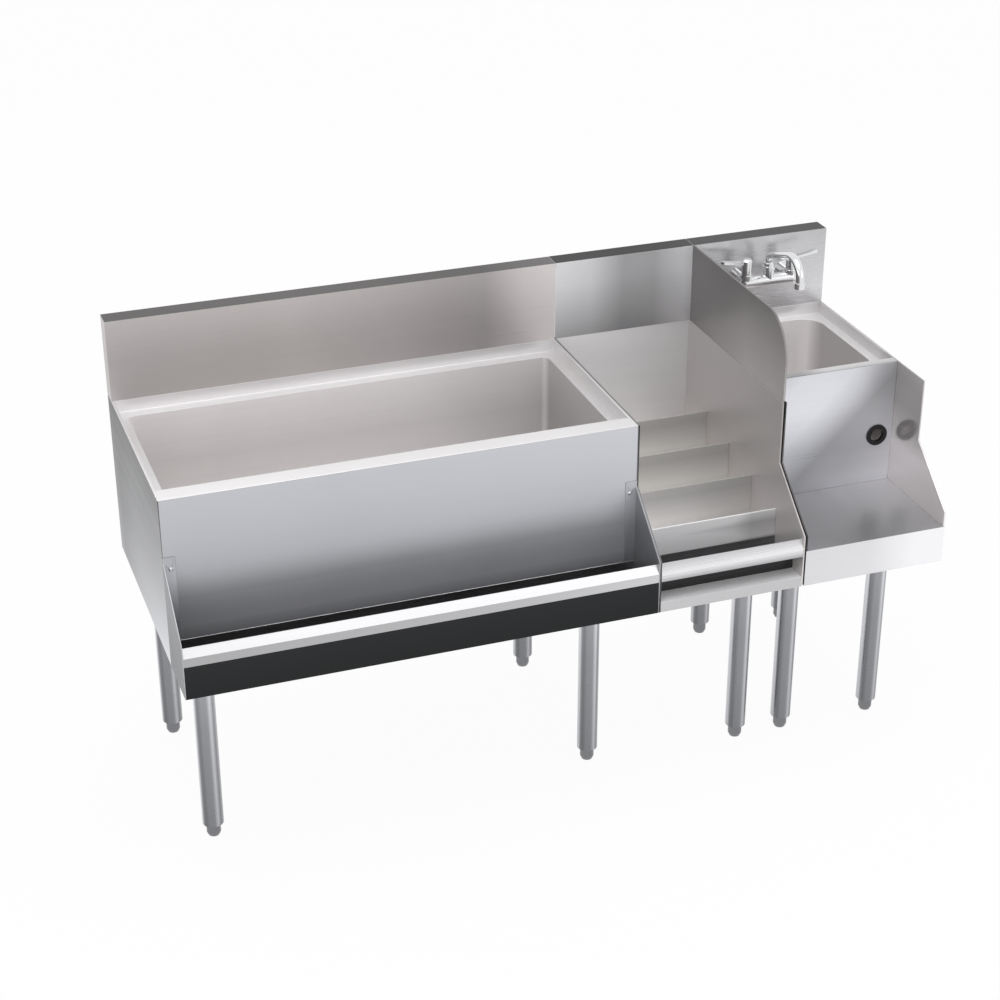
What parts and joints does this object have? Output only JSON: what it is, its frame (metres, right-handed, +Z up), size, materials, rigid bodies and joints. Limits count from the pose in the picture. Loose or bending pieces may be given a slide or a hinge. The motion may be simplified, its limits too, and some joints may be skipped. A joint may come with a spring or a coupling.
{
  "type": "bar sink with ice bin",
  "caption": "Free-standing stainless underbar station: insulated ice bin with a front bottle rail, stepped bottle wells, and a hand sink with splash-mounted tap and blender shelf, on legs.",
  "frame": {"origin": "on the floor under the middle of the station's bounding box", "axes": "+X along the row from the ice bin to the sink, -Y out of the front towards the bartender, +Z up"},
  "size_m": [1.524, 0.6096, 0.9419],
  "materials": {
    "brushed_steel": "satin",
    "warm_steel": "satin",
    "dark_strip": "satin",
    "chrome": "polished",
    "black_rubber": "matte",
    "foam": "matte"
  },
  "bodies": {
    "station": {"bin_front_panel": "brushed_steel", "bin_left_side": "brushed_steel", "bin_right_side": "brushed_steel", "bin_back_panel": "brushed_steel", "bin_bottom_panel": "brushed_steel", "bin_top_rim": "warm_steel", "bin_liner": "warm_steel", "bin_insulation": "foam", "bin_drain": "chrome", "bin_backsplash": "warm_steel", "bottle_backsplash": "warm_steel", "sink_backsplash": "warm_steel", "rail_trough": "brushed_steel", "rail_face_strip": "dark_strip", "rail_left_end": "brushed_steel", "rail_right_end": "brushed_steel", "rail_screws": "chrome", "bottle_left_side": "brushed_steel", "bottle_right_side": "warm_steel", "bottle_back_panel": "warm_steel", "bottle_tray_1": "warm_steel", "bottle_tray_2": "warm_steel", "bottle_tray_3": "warm_steel", "bottle_tray_4": "warm_steel", "bottle_rail": "brushed_steel", "bottle_rail_shelf": "brushed_steel", "module_screws": "chrome", "divider_splash": "warm_steel", "sink_top": "warm_steel", "sink_bowl": "warm_steel", "sink_front_panel": "brushed_steel", "sink_left_side": "brushed_steel", "sink_right_side": "brushed_steel", "blender_shelf": "brushed_steel", "cord_grommet": "black_rubber", "drain_flange": "chrome", "drain_gasket": "black_rubber", "drain_locknut": "chrome", "drain_tailpiece": "chrome", "tap_body": "chrome", "tap_valves": "chrome", "tap_locknuts": "chrome", "spout_nut": "chrome", "base_channels": "brushed_steel", "leg_sockets": "brushed_steel", "leg_tubes": "brushed_steel"},
    "hot_lever": {"hot_handle": "chrome"},
    "cold_lever": {"cold_handle": "chrome"},
    "spout": {"tap_spout": "chrome", "tap_aerator": "chrome"},
    "strainer": {"drain_strainer": "chrome"},
    "screw_foot_bin_front_left": {"foot_bin_front_left": "brushed_steel"},
    "screw_foot_bin_front_right": {"foot_bin_front_right": "brushed_steel"},
    "screw_foot_bin_rear_left": {"foot_bin_rear_left": "brushed_steel"},
    "screw_foot_bin_rear_right": {"foot_bin_rear_right": "brushed_steel"},
    "screw_foot_bottle_front": {"foot_bottle_front": "brushed_steel"},
    "screw_foot_sink_front_left": {"foot_sink_front_left": "brushed_steel"},
    "screw_foot_sink_front_right": {"foot_sink_front_right": "brushed_steel"},
    "screw_foot_sink_rear_left": {"foot_sink_rear_left": "brushed_steel"},
    "screw_foot_sink_rear_right": {"foot_sink_rear_right": "brushed_steel"}
  },
  "joints": [
    {"name": "hot_lever_turn", "type": "hinge", "parent": "station", "child": "hot_lever", "pos_m": [0.5588, 0.2178, 0.874], "axis": [0, 0, 1], "range_deg": [0, 90]},
    {"name": "cold_lever_turn", "type": "hinge", "parent": "station", "child": "cold_lever", "pos_m": [0.6604, 0.2178, 0.874], "axis": [0, 0, 1], "range_deg": [-90, 0]},
    {"name": "spout_swivel", "type": "hinge", "parent": "station", "child": "spout", "pos_m": [0.6096, 0.2178, 0.874], "axis": [0, 0, 1], "range_deg": [-70, 70]},
    {"name": "strainer_lift", "type": "slide", "parent": "station", "child": "strainer", "axis": [0, 0, 1], "range_m": [0, 0.06]},
    {"name": "foot_bin_front_left_screw", "type": "slide", "parent": "station", "child": "screw_foot_bin_front_left", "axis": [0, 0, -1], "range_m": [0, 0.025]},
    {"name": "foot_bin_front_right_screw", "type": "slide", "parent": "station", "child": "screw_foot_bin_front_right", "axis": [0, 0, -1], "range_m": [0, 0.025]},
    {"name": "foot_bin_rear_left_screw", "type": "slide", "parent": "station", "child": "screw_foot_bin_rear_left", "axis": [0, 0, -1], "range_m": [0, 0.025]},
    {"name": "foot_bin_rear_right_screw", "type": "slide", "parent": "station", "child": "screw_foot_bin_rear_right", "axis": [0, 0, -1], "range_m": [0, 0.025]},
    {"name": "foot_bottle_front_screw", "type": "slide", "parent": "station", "child": "screw_foot_bottle_front", "axis": [0, 0, -1], "range_m": [0, 0.025]},
    {"name": "foot_sink_front_left_screw", "type": "slide", "parent": "station", "child": "screw_foot_sink_front_left", "axis": [0, 0, -1], "range_m": [0, 0.025]},
    {"name": "foot_sink_front_right_screw", "type": "slide", "parent": "station", "child": "screw_foot_sink_front_right", "axis": [0, 0, -1], "range_m": [0, 0.025]},
    {"name": "foot_sink_rear_left_screw", "type": "slide", "parent": "station", "child": "screw_foot_sink_rear_left", "axis": [0, 0, -1], "range_m": [0, 0.025]},
    {"name": "foot_sink_rear_right_screw", "type": "slide", "parent": "station", "child": "screw_foot_sink_rear_right", "axis": [0, 0, -1], "range_m": [0, 0.025]}
  ]
}
